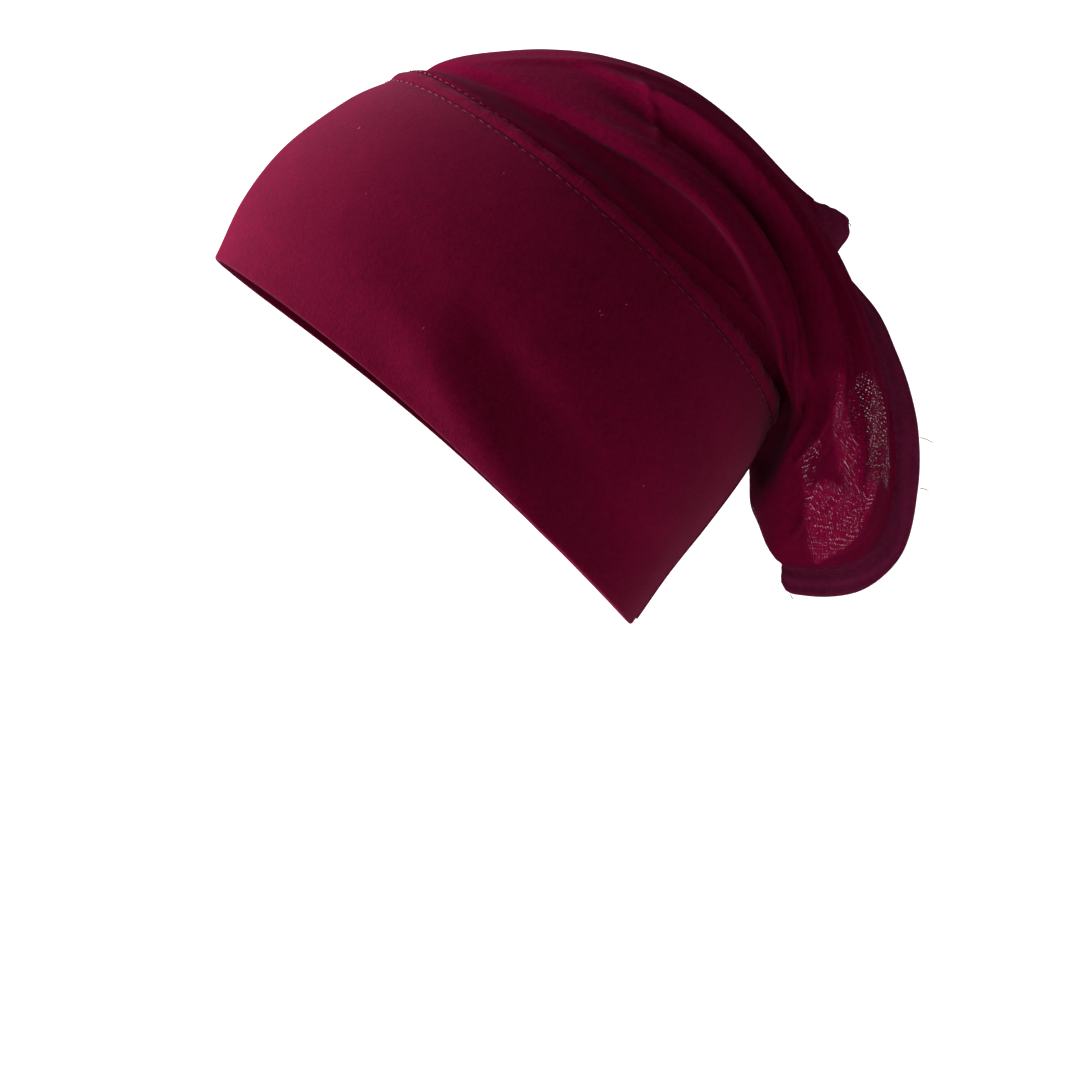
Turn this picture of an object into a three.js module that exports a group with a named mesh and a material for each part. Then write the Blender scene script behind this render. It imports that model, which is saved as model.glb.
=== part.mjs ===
// Hijab underscarf cap: a doubled jersey band that grips the head, and a thin
// gathered crown that hangs behind it and is sewn shut along its end.
// Millimetres. +X is the wearer's left, -Y the way the face looks, +Z is up.
// The origin is the middle of the head band, where the head holds the cap.
//
// The cloth is one surface. Sections run across it from the face edge to the
// closed end, each from its top point to its foot point, and the pieces are
// walls cut from that surface between two of its sections.

import * as THREE from 'three';

// Head band
const bandLength = 200;
const bandWidth = 153;
const bandHeight = 85;
const bandWall = 2;
const bandSlant = THREE.MathUtils.degToRad(41.2);
const edgeBow = 5;
const foldedEdge = 0.8;

// Crown seam, a raised line between the band and the crown
const seamHeight = 7;
const seamRise = 0.8;
const seamWall = 2.2;

// Crown bag
const crownWall = 1;
const crownLength = 170;
const crownPuff = 60;
const pouchDrop = 66;
const foldHeight = 6;
const endSway = 9;

// End hem, the doubled strip that closes the crown
const hemWidth = 9;
const hemThickness = 2.4;

// Back seam of the band
const backSeamWidth = 5;
const backSeamRise = 1;
const backSeamMargin = 2;

// Space that neighbouring pieces keep between them
const clearance = 0.3;

// Plan of the head: how far behind the middle it is widest, as a share of its
// half width, and how blunt its ends are, where 1 is an ellipse
const headEggShare = 0.07;
const headBluntness = 0.88;

// Rows of a table as objects, each with its name and its named columns
function namedRows(columns, rows) {
  return Object.entries(rows).map(([name, values]) => ({
    name,
    ...Object.fromEntries(columns.map((column, index) => [column, values[index]])),
  }));
}

// Band sections. Height is a share of bandHeight, front and back of half the
// bandLength, side of half the bandWidth, and bow of edgeBow.
const bandSections = [
  { height: 0, front: 0.985, back: 1.015, side: 0.9, bow: 1 },
  { height: 0.24, front: 1.035, back: 0.995, side: 0.97, bow: 0.85 },
  { height: 0.53, front: 1.04, back: 0.985, side: 1, bow: 0.7 },
  { height: 0.82, front: 0.99, back: 0.96, side: 0.975, bow: 0.6 },
  { height: 1, front: 0.925, back: 0.92, side: 0.93, bow: 0.5 },
];
const seamTopSection = { front: 0.9, back: 0.885, side: 0.89, bow: -0.1 };

// Crown sections, one at each main fold. Back and up are a level step and a
// rise. Those of the top are shares of crownLength from the front of the crown
// seam, and those of the foot shares of pouchDrop from the back of it. Those of
// the shoulder and the belly are shares of crownPuff from the straight line
// between top and foot. Side is a share of the seam's half width.
const crownSections = namedRows(
  ['topBack', 'topUp', 'footBack', 'footUp', 'shoulderBack', 'shoulderUp', 'bellyBack', 'bellyUp', 'side'],
  {
    roll: [0.015, 0.004, 0.06, 0.03, 0.03, 0.01, 0.03, 0.02, 0.985],
    panel: [0.035, 0.018, 0.075, -0.07, 0.43, -0.17, 0.3, -0.14, 0.93],
    firstRidge: [0.065, 0.034, 0.055, -0.17, 0.47, -0.07, 0.36, 0.03, 0.965],
    lowRidge: [0.11, 0.048, 0.02, -0.27, 0.56, -0.05, 0.46, 0.01, 0.94],
    deepValley: [0.18, 0.058, -0.03, -0.36, 0.59, -0.02, 0.52, -0.02, 0.88],
    mainRidge: [0.27, 0.06, -0.075, -0.44, 0.53, 0.04, 0.55, 0, 0.86],
    ridgeBack: [0.385, 0.052, -0.085, -0.54, 0.49, 0.06, 0.59, -0.01, 0.78],
    backValley: [0.54, 0.013, -0.055, -0.65, 0.41, 0.08, 0.6, -0.04, 0.63],
    lastRidge: [0.695, -0.073, -0.02, -0.745, 0.32, 0.1, 0.6, -0.06, 0.46],
    hemStart: [0.83, -0.19, 0.03, -0.82, 0.32, 0.02, 0.6, -0.24, 0.21],
    end: [0.885, -0.232, 0.065, -0.856, 0.41, -0.27, 0.61, -0.46, 0.035],
  },
);

// Folds of the crown. Height is a share of foldHeight, negative in a valley.
// High, middle and low give the crown section that the fold lies on near the
// top, at mid side and near the foot. Before and behind are its half widths in
// sections, and from and to the shares of the way down where it begins and ends.
const folds = namedRows(
  ['height', 'high', 'middle', 'low', 'before', 'behind', 'from', 'to'],
  {
    seamHollow: [-0.45, 1, 1.4, 0.9, 0.95, 0.95, 0.1, 0.93],
    firstRidge: [0.8, 1.7, 2.75, 1.6, 0.7, 1.4, 0.06, 0.95],
    lowRidge: [0.3, 2.9, 4.2, 4, 0.7, 0.9, 0.25, 0.93],
    deepValley: [-0.85, 4.9, 5.6, 6.8, 0.8, 0.7, 0.14, 0.88],
    mainRidge: [0.9, 5.6, 6.5, 7.8, 0.7, 1, 0.08, 0.9],
    backValley: [-0.6, 6.9, 7.6, 8.2, 0.75, 0.9, 0.16, 0.78],
    lastRidge: [0.35, 9.6, 9.5, 9.6, 0.7, 0.8, 0.1, 0.8],
    gatherPocket: [-0.5, 6.3, 5.4, 4.4, 1, 1, 0.77, 0.96],
    frontFanFold: [0.25, 6, 7.5, 9.4, 0.8, 0.8, 0.74, 0.97],
    backFanFold: [0.25, 6.5, 8.7, 10.2, 0.8, 0.8, 0.66, 0.93],
  },
);

// On the wearer's right the same folds are a little lower and further back.
const rightFoldShare = 0.8;
const rightShiftShare = 0.3;

// Share of a fold's length over which it rises at each end
const foldFade = 0.3;

// Waves of the closed end from side to side, and how many sections they take
const swayWaveCount = 1.2;
const swaySectionCount = 3;

// How far short of the crown's end its inner skin stops, in sections
const innerEndShare = 0.12;

// The hem's way along the closed end, from its upper corner. Down is the share
// of the way, width and lean are shares of hemWidth, and lean slides the outer
// edge along the seam. Twist is in degrees towards the wearer's right.
const hemSections = namedRows(
  ['down', 'width', 'lean', 'twist'],
  {
    corner: [0, 1.25, 1, 8],
    cornerFoot: [0.05, 1.3, 0.6, 20],
    notch: [0.13, 1, 0, 55],
    upper: [0.3, 1, 0, 12],
    lower: [0.6, 1, 0, -20],
    bottom: [0.88, 1, 0, 25],
    end: [1, 1.15, -0.2, 5],
  },
);

// Mesh fineness
const stepsAround = 44;
const bandSteps = 6;
const crownSteps = 37;
const hemSteps = 22;
const backSeamSteps = 8;

const alongBand = { y: Math.cos(bandSlant), z: -Math.sin(bandSlant) };
const upBand = { y: Math.sin(bandSlant), z: Math.cos(bandSlant) };
const seamTop = bandHeight + seamHeight;

// A section of the band. Along the band and up from its face edge, the origin
// is halfway up. The bow lifts the section's middle, over the ear.
function bandSection(row, height) {
  const front = -row.front * bandLength / 2;
  const back = row.back * bandLength / 2;
  const rise = height - seamTop / 2;
  const bow = edgeBow * row.bow;
  return {
    topBack: front * alongBand.y + rise * upBand.y,
    topUp: front * alongBand.z + rise * upBand.z,
    footBack: back * alongBand.y + rise * upBand.y,
    footUp: back * alongBand.z + rise * upBand.z,
    shoulderBack: bow * upBand.y,
    shoulderUp: bow * upBand.z,
    bellyBack: bow * upBand.y,
    bellyUp: bow * upBand.z,
    side: row.side * bandWidth / 2,
  };
}

const seamSection = bandSection(seamTopSection, seamTop);

function crownSection(row) {
  return {
    topBack: seamSection.topBack + row.topBack * crownLength,
    topUp: seamSection.topUp + row.topUp * crownLength,
    footBack: seamSection.footBack + row.footBack * pouchDrop,
    footUp: seamSection.footUp + row.footUp * pouchDrop,
    shoulderBack: row.shoulderBack * crownPuff,
    shoulderUp: row.shoulderUp * crownPuff,
    bellyBack: row.bellyBack * crownPuff,
    bellyUp: row.bellyUp * crownPuff,
    side: row.side * seamSection.side,
  };
}

const sections = [
  ...bandSections.map((row) => bandSection(row, row.height * bandHeight)),
  seamSection,
  ...crownSections.map(crownSection),
];
const bandEnd = bandSections.length - 1;
const crownStart = bandEnd + 1;
const crownEnd = sections.length - 1;
const endSwayStart = crownEnd - swaySectionCount;

// Smooth curve through four values, Catmull and Rom's spline
function spline(before, start, end, after, share) {
  const square = share * share;
  const cube = square * share;
  return (2 * cube - 3 * square + 1) * start
    + (cube - 2 * square + share) * (end - before) / 2
    + (3 * square - 2 * cube) * end
    + (cube - square) * (after - start) / 2;
}

// One column of the sections at a place between two of them
function blend(place, column) {
  const last = sections.length - 1;
  const index = Math.min(Math.max(Math.floor(place), 0), last - 1);
  const start = sections[index][column];
  const end = sections[index + 1][column];
  const before = index > 0 ? sections[index - 1][column] : 2 * start - end;
  const after = index < last - 1 ? sections[index + 2][column] : 2 * end - start;
  return spline(before, start, end, after, place - index);
}

function smoothStep(low, high, value) {
  const share = Math.min(Math.max((value - low) / (high - low), 0), 1);
  return share * share * (3 - 2 * share);
}

// The crown section that a fold lies on, a parabola through its three places
function foldPlace(fold, down) {
  const share = (down - fold.from) / (fold.to - fold.from);
  const high = 2 * (share - 0.5) * (share - 1) * fold.high;
  const middle = 4 * share * (1 - share) * fold.middle;
  const low = 2 * share * (share - 0.5) * fold.low;
  return crownStart + high + middle + low;
}

function foldRelief(place, down, isRight) {
  const shift = isRight ? rightShiftShare : 0;
  const size = foldHeight * (isRight ? rightFoldShare : 1);
  let relief = 0;
  for (const fold of folds) {
    const offset = place - foldPlace(fold, down) - shift;
    const reach = Math.abs(offset / (offset < 0 ? fold.before : fold.behind));
    const share = (down - fold.from) / (fold.to - fold.from);
    const fade = smoothStep(0, foldFade, share) * smoothStep(0, foldFade, 1 - share);
    relief += reach < 1 ? fold.height * size * fade * (1 + Math.cos(Math.PI * reach)) / 2 : 0;
  }
  const ends = smoothStep(crownStart, crownStart + 1, place) * smoothStep(crownEnd, crownEnd - 1, place);
  return relief * ends;
}

// How much of the shoulder and the belly a section has at a share of the way
// down: the two middle parts of the cubic through points at 0, 1/3, 2/3 and 1
function shoulderShare(down) {
  return 27 / 2 * down * (2 / 3 - down) * (1 - down);
}

function bellyShare(down) {
  return shoulderShare(1 - down);
}

function sideView(place, down, direction) {
  const top = blend(place, `top${direction}`);
  const foot = blend(place, `foot${direction}`);
  const shoulder = blend(place, `shoulder${direction}`) * shoulderShare(down);
  const belly = blend(place, `belly${direction}`) * bellyShare(down);
  return top + (foot - top) * down + shoulder + belly;
}

// The unfolded surface. Turn runs once round a section from its top, down the
// left side to its foot and up the right side. Its end sways from side to side.
function smoothPoint(turn, place) {
  const down = (1 - Math.cos(turn)) / 2;
  const wave = Math.sin(swayWaveCount * 2 * Math.PI * down - 1) * Math.sin(Math.PI * down);
  const sway = endSway * wave * smoothStep(endSwayStart, crownEnd, place);
  const breadth = Math.sign(Math.sin(turn)) * Math.abs(Math.sin(turn)) ** headBluntness;
  const across = blend(place, 'side') * breadth * (1 - headEggShare * Math.cos(turn)) + sway;
  return new THREE.Vector3(across, sideView(place, down, 'Back'), sideView(place, down, 'Up'));
}

// A point lifted off a surface along the surface's own normal
function lifted(surface, turn, place, lift) {
  const step = 0.01;
  const around = surface(turn + step, place).sub(surface(turn - step, place));
  const along = surface(turn, place + step).sub(surface(turn, place - step));
  const normal = around.cross(along).normalize();
  return surface(turn, place).addScaledVector(normal, lift);
}

function foldedPoint(turn, place) {
  if (place <= crownStart) {
    return smoothPoint(turn, place);
  }
  const down = (1 - Math.cos(turn)) / 2;
  return lifted(smoothPoint, turn, place, foldRelief(place, down, Math.sin(turn) < 0));
}

function clothPoint(turn, place, lift) {
  return lifted(foldedPoint, turn, place, lift);
}

function evenSteps(from, to, count) {
  return Array.from({ length: count + 1 }, (unused, index) => from + (to - from) * index / count);
}

const turns = evenSteps(0, 2 * Math.PI, stepsAround).slice(0, -1);

// A closed mesh from points and triangles, turned so that its faces point out
function solidMesh(name, points, triangles, material) {
  let volume = 0;
  for (const [a, b, c] of triangles) {
    volume += points[a].dot(points[b].clone().cross(points[c]));
  }
  const indices = triangles.flatMap(([a, b, c]) => (volume > 0 ? [a, b, c] : [a, c, b]));
  const geometry = new THREE.BufferGeometry();
  const numbers = points.flatMap((point) => point.toArray());
  geometry.setAttribute('position', new THREE.Float32BufferAttribute(numbers, 3));
  geometry.setIndex(indices);
  geometry.computeVertexNormals();
  const mesh = new THREE.Mesh(geometry, material);
  mesh.name = name;
  return mesh;
}

// Triangles between two rows of as many points, each row closed on itself or open
function joinRows(first, second, isRing) {
  const triangles = [];
  const count = isRing ? first.length : first.length - 1;
  for (let index = 0; index < count; index += 1) {
    const next = (index + 1) % first.length;
    triangles.push([first[index], first[next], second[next]]);
    triangles.push([first[index], second[next], second[index]]);
  }
  return triangles;
}

// A solid swept through closed outlines of as many points. A ring joins its last
// outline to its first, and a strip is closed by a fan at each end.
function sweptMesh(name, outlines, isRing, material) {
  const size = outlines[0].length;
  const points = outlines.flat();
  const rows = outlines.map((outline, index) => outline.map((unused, corner) => index * size + corner));
  const triangles = rows.slice(1).flatMap((row, index) => joinRows(rows[index], row, true));
  if (isRing) {
    triangles.push(...joinRows(rows.at(-1), rows[0], true));
  } else {
    for (let corner = 1; corner < size - 1; corner += 1) {
      triangles.push([rows[0][0], rows[0][corner + 1], rows[0][corner]]);
      triangles.push([rows.at(-1)[0], rows.at(-1)[corner], rows.at(-1)[corner + 1]]);
    }
  }
  return solidMesh(name, points, triangles, material);
}

const bandCloth = new THREE.MeshStandardMaterial({ color: 0x86103f, roughness: 0.92 });
const seamCloth = new THREE.MeshStandardMaterial({ color: 0x9a1a4c, roughness: 0.9 });
const crownCloth = new THREE.MeshStandardMaterial({ color: 0x8e1847, roughness: 0.85 });
const hemCloth = new THREE.MeshStandardMaterial({ color: 0x7c1542, roughness: 0.88 });

// The band is doubled, so its face edge is a rounded fold
function makeHeadband() {
  const places = evenSteps(0, bandEnd, bandSteps);
  const nose = -foldedEdge / (bandSections[1].height * bandHeight);
  const outlines = turns.map((turn) => [
    clothPoint(turn, nose, -bandWall / 2),
    ...places.map((place) => clothPoint(turn, place, 0)),
    ...places.toReversed().map((place) => clothPoint(turn, place, -bandWall)),
  ]);
  return sweptMesh('headband', outlines, true, bandCloth);
}

// The crown seam stands proud of the cloth above and below it
function makeJoinSeam() {
  const margin = clearance / seamHeight;
  const low = bandEnd + margin;
  const high = crownStart - margin;
  const profile = [
    { share: 0, lift: -seamWall },
    { share: 0, lift: seamRise / 2 },
    { share: 0.3, lift: seamRise },
    { share: 0.7, lift: seamRise },
    { share: 1, lift: seamRise / 2 },
    { share: 1, lift: -seamWall },
  ];
  const outlines = turns.map((turn) => profile.map((corner) => {
    const place = low + (high - low) * corner.share;
    return clothPoint(turn, place, corner.lift);
  }));
  return sweptMesh('join_seam', outlines, true, seamCloth);
}

// Triangles that close a flattened ring by joining its left half to its right half
function closeEnd(ring) {
  const count = ring.length;
  const left = ring.slice(0, count / 2 + 1);
  const right = left.map((unused, index) => ring[(count - index) % count]);
  return joinRows(left, right, false).filter((face) => new Set(face).size === 3);
}

// The crown is an open-mouthed bag: an outer and an inner skin, joined at the mouth
function makeCrownBag() {
  const outerPlaces = evenSteps(crownStart, crownEnd, crownSteps);
  const innerPlaces = evenSteps(crownStart, crownEnd - innerEndShare, crownSteps);
  const outer = outerPlaces.map((place) => turns.map((turn) => clothPoint(turn, place, 0)));
  const inner = innerPlaces.map((place) => turns.map((turn) => clothPoint(turn, place, -crownWall)));
  const rings = [...outer.toReversed(), ...inner];
  const rows = rings.map((ring, index) => ring.map((unused, corner) => index * stepsAround + corner));
  const triangles = rows.slice(1).flatMap((row, index) => joinRows(rows[index], row, true));
  const outerEnd = closeEnd(rows[0]).map(([a, b, c]) => [a, c, b]);
  triangles.push(...outerEnd, ...closeEnd(rows.at(-1)));
  return solidMesh('crown_bag', rings.flat(), triangles, crownCloth);
}

// One column of a table, eased between the rows around a share of the way down
function easedColumn(rows, down, column) {
  const index = Math.max(rows.findIndex((row) => row.down >= down), 1);
  const start = rows[index - 1];
  const end = rows[index];
  return start[column] + (end[column] - start[column]) * smoothStep(start.down, end.down, down);
}

// The hem follows the closed end of the crown, just outside it, as a wavy strip
function makeEndHem() {
  const downs = evenSteps(0, 1, hemSteps);
  const edge = downs.map((down) => {
    const turn = Math.acos(1 - 2 * down);
    const left = clothPoint(turn, crownEnd, 0);
    const right = clothPoint(2 * Math.PI - turn, crownEnd, 0);
    return left.add(right).multiplyScalar(0.5);
  });
  const toRight = new THREE.Vector3(-1, 0, 0);
  const outlines = edge.map((point, index) => {
    const width = hemWidth * easedColumn(hemSections, downs[index], 'width');
    const lean = hemWidth * easedColumn(hemSections, downs[index], 'lean');
    const twist = THREE.MathUtils.degToRad(easedColumn(hemSections, downs[index], 'twist'));
    const before = edge[Math.max(index - 1, 0)];
    const after = edge[Math.min(index + 1, hemSteps)];
    const onward = after.clone().sub(before).setX(0).normalize();
    const outward = onward.clone().cross(toRight).normalize();
    const reach = outward.clone().multiplyScalar(Math.cos(twist)).addScaledVector(toRight, Math.sin(twist));
    const face = onward.clone().cross(reach).normalize();
    const half = hemThickness / 2;
    const gap = clearance + half * Math.abs(Math.sin(twist));
    const start = point.clone().addScaledVector(outward, gap);
    const end = start.clone().addScaledVector(reach, width).addScaledVector(onward, lean);
    return [
      start.clone().addScaledVector(face, -half),
      end.clone().addScaledVector(face, -half),
      end.clone().addScaledVector(face, half),
      start.clone().addScaledVector(face, half),
    ];
  });
  return sweptMesh('end_hem', outlines, false, hemCloth);
}

// The narrow seam down the middle of the band's back
function makeBackSeam() {
  const margin = backSeamMargin * bandEnd / bandHeight;
  const places = evenSteps(margin, bandEnd - margin, backSeamSteps);
  const profile = [
    { side: -backSeamWidth / 2, lift: clearance },
    { side: -backSeamWidth / 4, lift: clearance + backSeamRise },
    { side: backSeamWidth / 4, lift: clearance + backSeamRise },
    { side: backSeamWidth / 2, lift: clearance },
  ];
  const outlines = places.map((place) => profile.map((corner) => {
    const point = clothPoint(Math.PI, place, corner.lift);
    return point.setX(corner.side);
  }));
  return sweptMesh('back_seam', outlines, false, seamCloth);
}

const cap = new THREE.Group();
cap.add(makeHeadband(), makeJoinSeam(), makeCrownBag(), makeEndHem(), makeBackSeam());

export default cap;
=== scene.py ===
"""A hijab underscarf cap in its cloth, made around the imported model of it.

The cloth is one surface in two parameters. Turn runs once round a section, from
its top down the left side to its foot and up the right side. Place runs along
the cap from section to section, from the face edge over the crown seam to the
closed end. Every piece of cloth is a part of that surface with its own thickness.
"""

import math

import bmesh
import bpy
import numpy as np
from bpy.props import FloatProperty, FloatVectorProperty, IntProperty, PointerProperty
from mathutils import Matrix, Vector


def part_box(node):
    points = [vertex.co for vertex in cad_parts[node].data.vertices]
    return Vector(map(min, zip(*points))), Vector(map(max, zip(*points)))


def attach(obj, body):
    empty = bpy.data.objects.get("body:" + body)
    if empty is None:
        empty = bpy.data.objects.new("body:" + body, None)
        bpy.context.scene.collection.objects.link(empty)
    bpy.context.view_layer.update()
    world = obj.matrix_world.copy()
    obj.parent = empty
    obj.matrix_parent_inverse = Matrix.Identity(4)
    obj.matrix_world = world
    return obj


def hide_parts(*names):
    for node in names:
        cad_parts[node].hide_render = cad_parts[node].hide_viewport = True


bl_info = {
    "name": "Underscarf Cap",
    "version": (1, 0, 0),
    "blender": (4, 5, 0),
    "location": "View3D > Sidebar > Underscarf Cap",
    "description": "Dresses the packed underscarf cap in jersey and voile",
    "category": "Object",
}

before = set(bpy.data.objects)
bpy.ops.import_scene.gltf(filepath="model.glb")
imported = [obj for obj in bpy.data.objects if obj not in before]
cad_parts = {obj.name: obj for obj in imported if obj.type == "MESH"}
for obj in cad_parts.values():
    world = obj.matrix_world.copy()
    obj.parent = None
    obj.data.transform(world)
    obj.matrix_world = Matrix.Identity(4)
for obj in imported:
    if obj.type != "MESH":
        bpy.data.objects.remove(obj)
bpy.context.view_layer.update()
PACKED_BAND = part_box("headband")
MM = 0.001

# Band sections: height as a share of the band's height, front and back of half
# its length, side of half its width, and bow of the face edge's bow
BAND_SECTIONS = (
    (0, 0.985, 1.015, 0.9, 1),
    (0.24, 1.035, 0.995, 0.97, 0.85),
    (0.53, 1.04, 0.985, 1, 0.7),
    (0.82, 0.99, 0.96, 0.975, 0.6),
    (1, 0.925, 0.92, 0.93, 0.5),
)
SEAM_TOP_SECTION = (None, 0.9, 0.885, 0.89, -0.1)

# Crown sections, one at each main fold: the steps back and up of the top, as
# shares of the crown's length, of the foot, as shares of the pouch's drop, and of
# the shoulder and the belly, as shares of the crown's puff, then the half width
CROWN_SECTIONS = {
    "roll": (0.015, 0.004, 0.06, 0.03, 0.03, 0.01, 0.03, 0.02, 0.985),
    "panel": (0.035, 0.018, 0.075, -0.07, 0.43, -0.17, 0.3, -0.14, 0.93),
    "first ridge": (0.065, 0.034, 0.055, -0.17, 0.47, -0.07, 0.36, 0.03, 0.965),
    "low ridge": (0.11, 0.048, 0.02, -0.27, 0.56, -0.05, 0.46, 0.01, 0.94),
    "deep valley": (0.18, 0.058, -0.03, -0.36, 0.59, -0.02, 0.52, -0.02, 0.88),
    "main ridge": (0.27, 0.06, -0.075, -0.44, 0.53, 0.04, 0.55, 0, 0.86),
    "ridge back": (0.385, 0.052, -0.085, -0.54, 0.49, 0.06, 0.59, -0.01, 0.78),
    "back valley": (0.54, 0.013, -0.055, -0.65, 0.41, 0.08, 0.6, -0.04, 0.63),
    "last ridge": (0.695, -0.073, -0.02, -0.745, 0.32, 0.1, 0.6, -0.06, 0.46),
    "hem start": (0.83, -0.19, 0.03, -0.82, 0.32, 0.02, 0.6, -0.24, 0.21),
    "end": (0.885, -0.232, 0.065, -0.856, 0.41, -0.27, 0.61, -0.46, 0.035),
}

# Folds of the crown: height as a share of the fold height, the crown section that
# the fold lies on near the top, at its middle and near the foot, its half widths
# before and behind in sections, the shares of the way down where it begins and
# ends, and how sharp its crest is
FOLDS = {
    "panel slope": (-0.42, 1.4, 2.55, 1.3, 2.3, 0.3, 0.1, 0.96, 0.8),
    "first ridge": (0.5, 1.55, 2.85, 1.5, 0.24, 1.25, 0.06, 0.96, 1.1),
    "first crest": (0.22, 1.5, 2.75, 1.42, 0.14, 0.7, 0.08, 0.94, 1.5),
    "low ridge": (0.3, 2.9, 4.2, 4, 0.3, 0.9, 0.25, 0.93, 1.6),
    "deep valley": (-0.8, 4.8, 5.75, 6.9, 1, 0.4, 0.14, 0.88, 1.3),
    "main ridge": (0.75, 5.5, 6.3, 7.5, 0.35, 0.75, 0.08, 0.9, 1.2),
    "main crest": (0.25, 5.45, 6.22, 7.42, 0.14, 0.35, 0.1, 0.88, 1.6),
    "back crease": (-0.42, 6.5, 7.5, 8.1, 0.35, 0.2, 0.16, 0.8, 1.4),
    "back valley": (-0.4, 6.9, 7.5, 8.2, 0.7, 0.5, 0.16, 0.78, 1.2),
    "back ridge": (0.36, 7.2, 8, 8.9, 0.25, 1.1, 0.2, 0.8, 1.3),
    "last ridge": (0.35, 9.6, 9.5, 9.6, 0.5, 0.8, 0.1, 0.8, 1),
    "top crease": (0.13, 3.2, 5.7, 7.9, 1.1, 1.5, 0.045, 0.17, 1.5),
    "pucker": (0.16, 6.45, 5.1, 3.2, 0.16, 0.24, 0.15, 0.34, 1.2),
    "gather pocket": (-0.8, 6.3, 5.4, 4.4, 0.9, 0.9, 0.77, 0.96, 1),
    "gather edge": (0.5, 6.5, 6.9, 6.5, 0.12, 0.4, 0.66, 0.94, 1.3),
    "front fan fold": (0.55, 7, 7.95, 9.9, 0.3, 0.14, 0.56, 0.87, 1.2),
    "fan crease": (-0.4, 7.35, 8.3, 10.2, 0.14, 0.22, 0.56, 0.86, 1.3),
    "foot fold": (0.35, 6.9, 7.9, 9.6, 0.3, 0.4, 0.84, 0.99, 1.3),
}

# Where the crown's cloth lies single and lets light through: the share of open
# weave, how much light coming through is painted into its colour as a glow, and
# its outline's corners as shares of the way down and crown sections
THIN_PATCHES = {
    "back patch": (1, 0.15, (
        (0.678, 8.05), (0.6, 9.3), (0.36, 11.5), (0.55, 11.2), (0.66, 10.45), (0.72, 9.8),
        (0.773, 9.3), (0.772, 8.5), (0.73, 7.75),
    )),
    "middle strip": (0.6, 0.9, (
        (0.735, 6.8), (0.755, 7.8), (0.8, 8.8), (0.821, 9.2), (0.848, 9.25), (0.85, 8.3),
        (0.823, 7.5), (0.79, 6.95),
    )),
    "front patch": (0.9, 0.3, (
        (0.842, 7), (0.863, 7.3), (0.904, 7.65), (0.916, 7.4), (0.911, 7), (0.898, 6.73),
        (0.87, 6.78),
    )),
    "low patch": (0.72, 0.95, (
        (0.92, 7.5), (0.88, 8.1), (0.855, 8.9), (0.823, 9.2), (0.737, 9.5), (0.761, 9.8),
        (0.844, 10.05), (0.909, 10.3), (0.94, 10.7), (0.947, 9.6), (0.938, 8.4),
    )),
}

# Dents and bumps of the band: height in millimetres, share of the way down,
# place among the band sections, half widths in down on the upper and the lower
# side, half width in places, the share that its line leans by from place to
# place, and how sharp its lower side is
BAND_DENTS = {
    "ear bump": (5.6, 0.655, 0.42, 0.17, 0.085, 0.72, -0.17, 1.3),
    "temple hollow": (-0.9, 0.4, 1.5, 0.1, 0.1, 0.5, -0.1, 2),
    "nape hollow": (-0.9, 0.93, 2.2, 0.1, 0.1, 1.2, 0, 2),
}

# Folds of the band, in the columns of FOLDS, with places before the crown's start
BAND_FOLDS = {
    "ear hollow": (-0.7, -3.5, -3.95, -4.25, 1.2, 0.6, 0.45, 0.99, 1.2),
    "neck bulge": (0.14, -2.8, -3, -3.2, 0.7, 0.9, 0.5, 0.97, 1),
}

# The hem along the closed end: share of the way down, its width and its lean
# along the seam as shares of the hem width, and its twist to the right in degrees
HEM_SECTIONS = (
    (0, 1.25, 1, 8),
    (0.05, 1.3, 0.6, 20),
    (0.13, 1, 0, 55),
    (0.3, 1, 0, 12),
    (0.6, 1, 0, -20),
    (0.84, 1.35, 0.1, 15),
    (1, 1.15, -0.2, 5),
)

# How far the hem's rounded corners reach, as shares of its length and its width
HEM_CORNER = (0.022, 0.3)

# Lint on the left side of the cap: turn as a share of a half turn, and place
LINT = (
    (0.42, 3.2), (0.585, 2.62), (0.59, 2.56), (0.6, 2.9),
    (0.47, 1.05), (0.33, 1.9), (0.24, 2.6), (0.75, 1.5),
)

BAND_END = len(BAND_SECTIONS) - 1
CROWN_START = BAND_END + 1
CROWN_END = CROWN_START + len(CROWN_SECTIONS)

# The folds on the right side: how far further back, in sections, and their height
RIGHT_SHIFT = 0.3
RIGHT_HEIGHT = 0.8

# How blunt a section is across, and by what share it is broader at its foot
BLUNTNESS = 0.88
FOOT_BREADTH = 0.07

# Metres to a full way down and to a section, for the edges of the thin patches
PATCH_SCALE = (0.2, 0.012)

# Where the right side turns sheer: crown sections, and shares of the way down
SHEER_SECTIONS = (6.6, 7.3)
SHEER_DOWNS = (0.2, 0.4)

# The section round which, and the turn along which, the weave has its true size
WEAVE_SECTION = CROWN_START + 8
WEAVE_TURN = 2

# Points round the band's fold, across the crown seam, and round the hem and the back
# seam, then stations along the back seam and along the rows of stitches
FOLD_POINTS = 7
SEAM_POINTS = 13
HEM_POINTS = 28
BACK_SEAM_POINTS = 15
BACK_SEAM_STATIONS = 90
ROUND_STATIONS = 720
HEM_STATIONS = 400
NAPE_STATIONS = 200

# Rings of a stitch, its arch in thread thicknesses, and its sides
STITCH_RINGS = 5
STITCH_ARCH = 0.3
THREAD_SIDES = 6

# Rings of a stray thread, stations along the hem, and those with a stray end
STRAY_RINGS = 10
STRAY_STATIONS = 201
STRAY_ENDS = (98, 118, 6, 197)

# The floor's reach to each side, its curve up to the wall and the wall's height
FLOOR_REACH = 4
FLOOR_CURVE = 0.6
CURVE_STEPS = 24
WALL_HEIGHT = 3

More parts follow.
